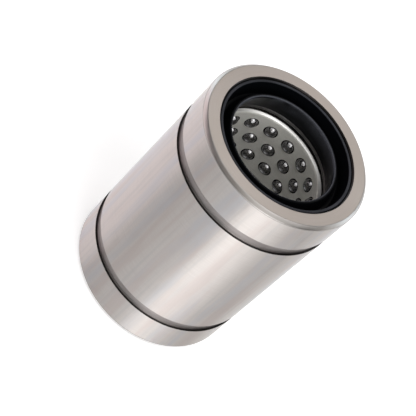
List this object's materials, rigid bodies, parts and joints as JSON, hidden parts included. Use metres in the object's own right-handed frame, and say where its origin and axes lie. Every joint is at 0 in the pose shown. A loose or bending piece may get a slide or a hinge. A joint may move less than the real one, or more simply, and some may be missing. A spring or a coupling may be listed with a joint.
{
  "type": "linear ball bushing",
  "caption": "Sealed slide-rotary ball bushing: a ground steel sleeve with two clip grooves, end seals and a perforated cage of small balls that rolls inside it.",
  "frame": {"origin": "centre of the rear end face, on the bushing's axis", "axes": "+Z along the bushing's axis from the rear end face to the front one; +X and +Y are radial"},
  "size_m": [0.032, 0.032, 0.045],
  "materials": {
    "ground_steel": "ground outside, satin",
    "ring_steel": "pressed spring steel, satin",
    "cage_alloy": "turned and drilled light alloy, satin",
    "ball_steel": "polished hardened steel",
    "seal_rubber": "moulded nitrile rubber"
  },
  "bodies": {
    "sleeve": {"outer_sleeve": "ground_steel", "front_seal": "seal_rubber", "rear_seal": "seal_rubber", "front_snap_ring": "ring_steel", "rear_snap_ring": "ring_steel"},
    "thrust_rings": {"front_thrust_ring": "ring_steel", "rear_thrust_ring": "ring_steel"},
    "cage": {"ball_cage": "cage_alloy"},
    "ball_1_01": {"ball_1_01": "ball_steel"},
    "ball_1_02": {"ball_1_02": "ball_steel"},
    "ball_1_03": {"ball_1_03": "ball_steel"},
    "ball_1_04": {"ball_1_04": "ball_steel"},
    "ball_1_05": {"ball_1_05": "ball_steel"},
    "ball_1_06": {"ball_1_06": "ball_steel"},
    "ball_1_07": {"ball_1_07": "ball_steel"},
    "ball_1_08": {"ball_1_08": "ball_steel"},
    "ball_1_09": {"ball_1_09": "ball_steel"},
    "ball_1_10": {"ball_1_10": "ball_steel"},
    "ball_1_11": {"ball_1_11": "ball_steel"},
    "ball_1_12": {"ball_1_12": "ball_steel"},
    "ball_1_13": {"ball_1_13": "ball_steel"},
    "ball_1_14": {"ball_1_14": "ball_steel"},
    "ball_1_15": {"ball_1_15": "ball_steel"},
    "ball_1_16": {"ball_1_16": "ball_steel"},
    "ball_1_17": {"ball_1_17": "ball_steel"},
    "ball_2_01": {"ball_2_01": "ball_steel"},
    "ball_2_02": {"ball_2_02": "ball_steel"},
    "ball_2_03": {"ball_2_03": "ball_steel"},
    "ball_2_04": {"ball_2_04": "ball_steel"},
    "ball_2_05": {"ball_2_05": "ball_steel"},
    "ball_2_06": {"ball_2_06": "ball_steel"},
    "ball_2_07": {"ball_2_07": "ball_steel"},
    "ball_2_08": {"ball_2_08": "ball_steel"},
    "ball_2_09": {"ball_2_09": "ball_steel"},
    "ball_2_10": {"ball_2_10": "ball_steel"},
    "ball_2_11": {"ball_2_11": "ball_steel"},
    "ball_2_12": {"ball_2_12": "ball_steel"},
    "ball_2_13": {"ball_2_13": "ball_steel"},
    "ball_2_14": {"ball_2_14": "ball_steel"},
    "ball_2_15": {"ball_2_15": "ball_steel"},
    "ball_2_16": {"ball_2_16": "ball_steel"},
    "ball_2_17": {"ball_2_17": "ball_steel"},
    "ball_3_01": {"ball_3_01": "ball_steel"},
    "ball_3_02": {"ball_3_02": "ball_steel"},
    "ball_3_03": {"ball_3_03": "ball_steel"},
    "ball_3_04": {"ball_3_04": "ball_steel"},
    "ball_3_05": {"ball_3_05": "ball_steel"},
    "ball_3_06": {"ball_3_06": "ball_steel"},
    "ball_3_07": {"ball_3_07": "ball_steel"},
    "ball_3_08": {"ball_3_08": "ball_steel"},
    "ball_3_09": {"ball_3_09": "ball_steel"},
    "ball_3_10": {"ball_3_10": "ball_steel"},
    "ball_3_11": {"ball_3_11": "ball_steel"},
    "ball_3_12": {"ball_3_12": "ball_steel"},
    "ball_3_13": {"ball_3_13": "ball_steel"},
    "ball_3_14": {"ball_3_14": "ball_steel"},
    "ball_3_15": {"ball_3_15": "ball_steel"},
    "ball_3_16": {"ball_3_16": "ball_steel"},
    "ball_3_17": {"ball_3_17": "ball_steel"}
  },
  "joints": [
    {"name": "cage_spin", "type": "hinge", "parent": "sleeve", "child": "thrust_rings", "pos_m": [0, 0, 0.0225], "axis": [0, 0, 1], "continuous": true},
    {"name": "cage_slide", "type": "slide", "parent": "thrust_rings", "child": "cage", "axis": [0, 0, -1], "range_m": [0, 0.0176]},
    {"name": "ball_1_01_roll", "type": "hinge", "parent": "cage", "child": "ball_1_01", "pos_m": [0.00039, 0.01124, 0.03505], "axis": [0.9994, -0.0349, 0], "range_deg": [0, 819]},
    {"name": "ball_1_02_roll", "type": "hinge", "parent": "cage", "child": "ball_1_02", "pos_m": [-0.0037, 0.01063, 0.03505], "axis": [0.9445, 0.3285, 0], "range_deg": [0, 819]},
    {"name": "ball_1_03_roll", "type": "hinge", "parent": "cage", "child": "ball_1_03", "pos_m": [-0.00728, 0.00857, 0.03505], "axis": [0.7621, 0.6475, 0], "range_deg": [0, 819]},
    {"name": "ball_1_04_roll", "type": "hinge", "parent": "cage", "child": "ball_1_04", "pos_m": [-0.00989, 0.00536, 0.03505], "axis": [0.4767, 0.8791, 0], "range_deg": [0, 819]},
    {"name": "ball_1_05_roll", "type": "hinge", "parent": "cage", "child": "ball_1_05", "pos_m": [-0.01116, 0.00143, 0.03505], "axis": [0.127, 0.9919, 0], "range_deg": [0, 819]},
    {"name": "ball_1_06_roll", "type": "hinge", "parent": "cage", "child": "ball_1_06", "pos_m": [-0.01092, -0.0027, 0.03505], "axis": [-0.2399, 0.9708, 0], "range_deg": [0, 819]},
    {"name": "ball_1_07_roll", "type": "hinge", "parent": "cage", "child": "ball_1_07", "pos_m": [-0.00921, -0.00646, 0.03505], "axis": [-0.5744, 0.8186, 0], "range_deg": [0, 819]},
    {"name": "ball_1_08_roll", "type": "hinge", "parent": "cage", "child": "ball_1_08", "pos_m": [-0.00625, -0.00935, 0.03505], "axis": [-0.8313, 0.5558, 0], "range_deg": [0, 819]},
    {"name": "ball_1_09_roll", "type": "hinge", "parent": "cage", "child": "ball_1_09", "pos_m": [-0.00245, -0.01098, 0.03505], "axis": [-0.976, 0.2179, 0], "range_deg": [0, 819]},
    {"name": "ball_1_10_roll", "type": "hinge", "parent": "cage", "child": "ball_1_10", "pos_m": [0.00168, -0.01112, 0.03505], "axis": [-0.9888, -0.1493, 0], "range_deg": [0, 819]},
    {"name": "ball_1_11_roll", "type": "hinge", "parent": "cage", "child": "ball_1_11", "pos_m": [0.00558, -0.00977, 0.03505], "axis": [-0.8681, -0.4964, 0], "range_deg": [0, 819]},
    {"name": "ball_1_12_roll", "type": "hinge", "parent": "cage", "child": "ball_1_12", "pos_m": [0.00874, -0.00709, 0.03505], "axis": [-0.6301, -0.7765, 0], "range_deg": [0, 819]},
    {"name": "ball_1_13_roll", "type": "hinge", "parent": "cage", "child": "ball_1_13", "pos_m": [0.01071, -0.00345, 0.03505], "axis": [-0.3071, -0.9517, 0], "range_deg": [0, 819]},
    {"name": "ball_1_14_roll", "type": "hinge", "parent": "cage", "child": "ball_1_14", "pos_m": [0.01123, 0.00065, 0.03505], "axis": [0.0575, -0.9983, 0], "range_deg": [0, 819]},
    {"name": "ball_1_15_roll", "type": "hinge", "parent": "cage", "child": "ball_1_15", "pos_m": [0.01024, 0.00466, 0.03505], "axis": [0.4142, -0.9102, 0], "range_deg": [0, 819]},
    {"name": "ball_1_16_roll", "type": "hinge", "parent": "cage", "child": "ball_1_16", "pos_m": [0.00786, 0.00804, 0.03505], "axis": [0.715, -0.6991, 0], "range_deg": [0, 819]},
    {"name": "ball_1_17_roll", "type": "hinge", "parent": "cage", "child": "ball_1_17", "pos_m": [0.00443, 0.01034, 0.03505], "axis": [0.9193, -0.3936, 0], "range_deg": [0, 819]},
    {"name": "ball_2_01_roll", "type": "hinge", "parent": "cage", "child": "ball_2_01", "pos_m": [-0.00168, 0.01112, 0.03132], "axis": [0.9888, 0.1493, 0], "range_deg": [0, 819]},
    {"name": "ball_2_02_roll", "type": "hinge", "parent": "cage", "child": "ball_2_02", "pos_m": [-0.00558, 0.00977, 0.03132], "axis": [0.8681, 0.4964, 0], "range_deg": [0, 819]},
    {"name": "ball_2_03_roll", "type": "hinge", "parent": "cage", "child": "ball_2_03", "pos_m": [-0.00874, 0.00709, 0.03132], "axis": [0.6301, 0.7765, 0], "range_deg": [0, 819]},
    {"name": "ball_2_04_roll", "type": "hinge", "parent": "cage", "child": "ball_2_04", "pos_m": [-0.01071, 0.00345, 0.03132], "axis": [0.3071, 0.9517, 0], "range_deg": [0, 819]},
    {"name": "ball_2_05_roll", "type": "hinge", "parent": "cage", "child": "ball_2_05", "pos_m": [-0.01123, -0.00065, 0.03132], "axis": [-0.0575, 0.9983, 0], "range_deg": [0, 819]},
    {"name": "ball_2_06_roll", "type": "hinge", "parent": "cage", "child": "ball_2_06", "pos_m": [-0.01024, -0.00466, 0.03132], "axis": [-0.4142, 0.9102, 0], "range_deg": [0, 819]},
    {"name": "ball_2_07_roll", "type": "hinge", "parent": "cage", "child": "ball_2_07", "pos_m": [-0.00786, -0.00804, 0.03132], "axis": [-0.715, 0.6991, 0], "range_deg": [0, 819]},
    {"name": "ball_2_08_roll", "type": "hinge", "parent": "cage", "child": "ball_2_08", "pos_m": [-0.00443, -0.01034, 0.03132], "axis": [-0.9193, 0.3936, 0], "range_deg": [0, 819]},
    {"name": "ball_2_09_roll", "type": "hinge", "parent": "cage", "child": "ball_2_09", "pos_m": [-0.00039, -0.01124, 0.03132], "axis": [-0.9994, 0.0349, 0], "range_deg": [0, 819]},
    {"name": "ball_2_10_roll", "type": "hinge", "parent": "cage", "child": "ball_2_10", "pos_m": [0.0037, -0.01063, 0.03132], "axis": [-0.9445, -0.3285, 0], "range_deg": [0, 819]},
    {"name": "ball_2_11_roll", "type": "hinge", "parent": "cage", "child": "ball_2_11", "pos_m": [0.00728, -0.00857, 0.03132], "axis": [-0.7621, -0.6475, 0], "range_deg": [0, 819]},
    {"name": "ball_2_12_roll", "type": "hinge", "parent": "cage", "child": "ball_2_12", "pos_m": [0.00989, -0.00536, 0.03132], "axis": [-0.4767, -0.8791, 0], "range_deg": [0, 819]},
    {"name": "ball_2_13_roll", "type": "hinge", "parent": "cage", "child": "ball_2_13", "pos_m": [0.01116, -0.00143, 0.03132], "axis": [-0.127, -0.9919, 0], "range_deg": [0, 819]},
    {"name": "ball_2_14_roll", "type": "hinge", "parent": "cage", "child": "ball_2_14", "pos_m": [0.01092, 0.0027, 0.03132], "axis": [0.2399, -0.9708, 0], "range_deg": [0, 819]},
    {"name": "ball_2_15_roll", "type": "hinge", "parent": "cage", "child": "ball_2_15", "pos_m": [0.00921, 0.00646, 0.03132], "axis": [0.5744, -0.8186, 0], "range_deg": [0, 819]},
    {"name": "ball_2_16_roll", "type": "hinge", "parent": "cage", "child": "ball_2_16", "pos_m": [0.00625, 0.00935, 0.03132], "axis": [0.8313, -0.5558, 0], "range_deg": [0, 819]},
    {"name": "ball_2_17_roll", "type": "hinge", "parent": "cage", "child": "ball_2_17", "pos_m": [0.00245, 0.01098, 0.03132], "axis": [0.976, -0.2179, 0], "range_deg": [0, 819]},
    {"name": "ball_3_01_roll", "type": "hinge", "parent": "cage", "child": "ball_3_01", "pos_m": [0.00039, 0.01124, 0.02759], "axis": [0.9994, -0.0349, 0], "range_deg": [0, 819]},
    {"name": "ball_3_02_roll", "type": "hinge", "parent": "cage", "child": "ball_3_02", "pos_m": [-0.0037, 0.01063, 0.02759], "axis": [0.9445, 0.3285, 0], "range_deg": [0, 819]},
    {"name": "ball_3_03_roll", "type": "hinge", "parent": "cage", "child": "ball_3_03", "pos_m": [-0.00728, 0.00857, 0.02759], "axis": [0.7621, 0.6475, 0], "range_deg": [0, 819]},
    {"name": "ball_3_04_roll", "type": "hinge", "parent": "cage", "child": "ball_3_04", "pos_m": [-0.00989, 0.00536, 0.02759], "axis": [0.4767, 0.8791, 0], "range_deg": [0, 819]},
    {"name": "ball_3_05_roll", "type": "hinge", "parent": "cage", "child": "ball_3_05", "pos_m": [-0.01116, 0.00143, 0.02759], "axis": [0.127, 0.9919, 0], "range_deg": [0, 819]},
    {"name": "ball_3_06_roll", "type": "hinge", "parent": "cage", "child": "ball_3_06", "pos_m": [-0.01092, -0.0027, 0.02759], "axis": [-0.2399, 0.9708, 0], "range_deg": [0, 819]},
    {"name": "ball_3_07_roll", "type": "hinge", "parent": "cage", "child": "ball_3_07", "pos_m": [-0.00921, -0.00646, 0.02759], "axis": [-0.5744, 0.8186, 0], "range_deg": [0, 819]},
    {"name": "ball_3_08_roll", "type": "hinge", "parent": "cage", "child": "ball_3_08", "pos_m": [-0.00625, -0.00935, 0.02759], "axis": [-0.8313, 0.5558, 0], "range_deg": [0, 819]},
    {"name": "ball_3_09_roll", "type": "hinge", "parent": "cage", "child": "ball_3_09", "pos_m": [-0.00245, -0.01098, 0.02759], "axis": [-0.976, 0.2179, 0], "range_deg": [0, 819]},
    {"name": "ball_3_10_roll", "type": "hinge", "parent": "cage", "child": "ball_3_10", "pos_m": [0.00168, -0.01112, 0.02759], "axis": [-0.9888, -0.1493, 0], "range_deg": [0, 819]},
    {"name": "ball_3_11_roll", "type": "hinge", "parent": "cage", "child": "ball_3_11", "pos_m": [0.00558, -0.00977, 0.02759], "axis": [-0.8681, -0.4964, 0], "range_deg": [0, 819]},
    {"name": "ball_3_12_roll", "type": "hinge", "parent": "cage", "child": "ball_3_12", "pos_m": [0.00874, -0.00709, 0.02759], "axis": [-0.6301, -0.7765, 0], "range_deg": [0, 819]},
    {"name": "ball_3_13_roll", "type": "hinge", "parent": "cage", "child": "ball_3_13", "pos_m": [0.01071, -0.00345, 0.02759], "axis": [-0.3071, -0.9517, 0], "range_deg": [0, 819]},
    {"name": "ball_3_14_roll", "type": "hinge", "parent": "cage", "child": "ball_3_14", "pos_m": [0.01123, 0.00065, 0.02759], "axis": [0.0575, -0.9983, 0], "range_deg": [0, 819]},
    {"name": "ball_3_15_roll", "type": "hinge", "parent": "cage", "child": "ball_3_15", "pos_m": [0.01024, 0.00466, 0.02759], "axis": [0.4142, -0.9102, 0], "range_deg": [0, 819]},
    {"name": "ball_3_16_roll", "type": "hinge", "parent": "cage", "child": "ball_3_16", "pos_m": [0.00786, 0.00804, 0.02759], "axis": [0.715, -0.6991, 0], "range_deg": [0, 819]},
    {"name": "ball_3_17_roll", "type": "hinge", "parent": "cage", "child": "ball_3_17", "pos_m": [0.00443, 0.01034, 0.02759], "axis": [0.9193, -0.3936, 0], "range_deg": [0, 819]}
  ],
  "couplings": [
    {"joint": "ball_1_01_roll", "follows": "cage_slide", "rad_per_m": 800},
    {"joint": "ball_1_02_roll", "follows": "cage_slide", "rad_per_m": 800},
    {"joint": "ball_1_03_roll", "follows": "cage_slide", "rad_per_m": 800},
    {"joint": "ball_1_04_roll", "follows": "cage_slide", "rad_per_m": 800},
    {"joint": "ball_1_05_roll", "follows": "cage_slide", "rad_per_m": 800},
    {"joint": "ball_1_06_roll", "follows": "cage_slide", "rad_per_m": 800},
    {"joint": "ball_1_07_roll", "follows": "cage_slide", "rad_per_m": 800},
    {"joint": "ball_1_08_roll", "follows": "cage_slide", "rad_per_m": 800},
    {"joint": "ball_1_09_roll", "follows": "cage_slide", "rad_per_m": 800},
    {"joint": "ball_1_10_roll", "follows": "cage_slide", "rad_per_m": 800},
    {"joint": "ball_1_11_roll", "follows": "cage_slide", "rad_per_m": 800},
    {"joint": "ball_1_12_roll", "follows": "cage_slide", "rad_per_m": 800},
    {"joint": "ball_1_13_roll", "follows": "cage_slide", "rad_per_m": 800},
    {"joint": "ball_1_14_roll", "follows": "cage_slide", "rad_per_m": 800},
    {"joint": "ball_1_15_roll", "follows": "cage_slide", "rad_per_m": 800},
    {"joint": "ball_1_16_roll", "follows": "cage_slide", "rad_per_m": 800},
    {"joint": "ball_1_17_roll", "follows": "cage_slide", "rad_per_m": 800},
    {"joint": "ball_2_01_roll", "follows": "cage_slide", "rad_per_m": 800},
    {"joint": "ball_2_02_roll", "follows": "cage_slide", "rad_per_m": 800},
    {"joint": "ball_2_03_roll", "follows": "cage_slide", "rad_per_m": 800},
    {"joint": "ball_2_04_roll", "follows": "cage_slide", "rad_per_m": 800},
    {"joint": "ball_2_05_roll", "follows": "cage_slide", "rad_per_m": 800},
    {"joint": "ball_2_06_roll", "follows": "cage_slide", "rad_per_m": 800},
    {"joint": "ball_2_07_roll", "follows": "cage_slide", "rad_per_m": 800},
    {"joint": "ball_2_08_roll", "follows": "cage_slide", "rad_per_m": 800},
    {"joint": "ball_2_09_roll", "follows": "cage_slide", "rad_per_m": 800},
    {"joint": "ball_2_10_roll", "follows": "cage_slide", "rad_per_m": 800},
    {"joint": "ball_2_11_roll", "follows": "cage_slide", "rad_per_m": 800},
    {"joint": "ball_2_12_roll", "follows": "cage_slide", "rad_per_m": 800},
    {"joint": "ball_2_13_roll", "follows": "cage_slide", "rad_per_m": 800},
    {"joint": "ball_2_14_roll", "follows": "cage_slide", "rad_per_m": 800},
    {"joint": "ball_2_15_roll", "follows": "cage_slide", "rad_per_m": 800},
    {"joint": "ball_2_16_roll", "follows": "cage_slide", "rad_per_m": 800},
    {"joint": "ball_2_17_roll", "follows": "cage_slide", "rad_per_m": 800},
    {"joint": "ball_3_01_roll", "follows": "cage_slide", "rad_per_m": 800},
    {"joint": "ball_3_02_roll", "follows": "cage_slide", "rad_per_m": 800},
    {"joint": "ball_3_03_roll", "follows": "cage_slide", "rad_per_m": 800},
    {"joint": "ball_3_04_roll", "follows": "cage_slide", "rad_per_m": 800},
    {"joint": "ball_3_05_roll", "follows": "cage_slide", "rad_per_m": 800},
    {"joint": "ball_3_06_roll", "follows": "cage_slide", "rad_per_m": 800},
    {"joint": "ball_3_07_roll", "follows": "cage_slide", "rad_per_m": 800},
    {"joint": "ball_3_08_roll", "follows": "cage_slide", "rad_per_m": 800},
    {"joint": "ball_3_09_roll", "follows": "cage_slide", "rad_per_m": 800},
    {"joint": "ball_3_10_roll", "follows": "cage_slide", "rad_per_m": 800},
    {"joint": "ball_3_11_roll", "follows": "cage_slide", "rad_per_m": 800},
    {"joint": "ball_3_12_roll", "follows": "cage_slide", "rad_per_m": 800},
    {"joint": "ball_3_13_roll", "follows": "cage_slide", "rad_per_m": 800},
    {"joint": "ball_3_14_roll", "follows": "cage_slide", "rad_per_m": 800},
    {"joint": "ball_3_15_roll", "follows": "cage_slide", "rad_per_m": 800},
    {"joint": "ball_3_16_roll", "follows": "cage_slide", "rad_per_m": 800},
    {"joint": "ball_3_17_roll", "follows": "cage_slide", "rad_per_m": 800}
  ]
}
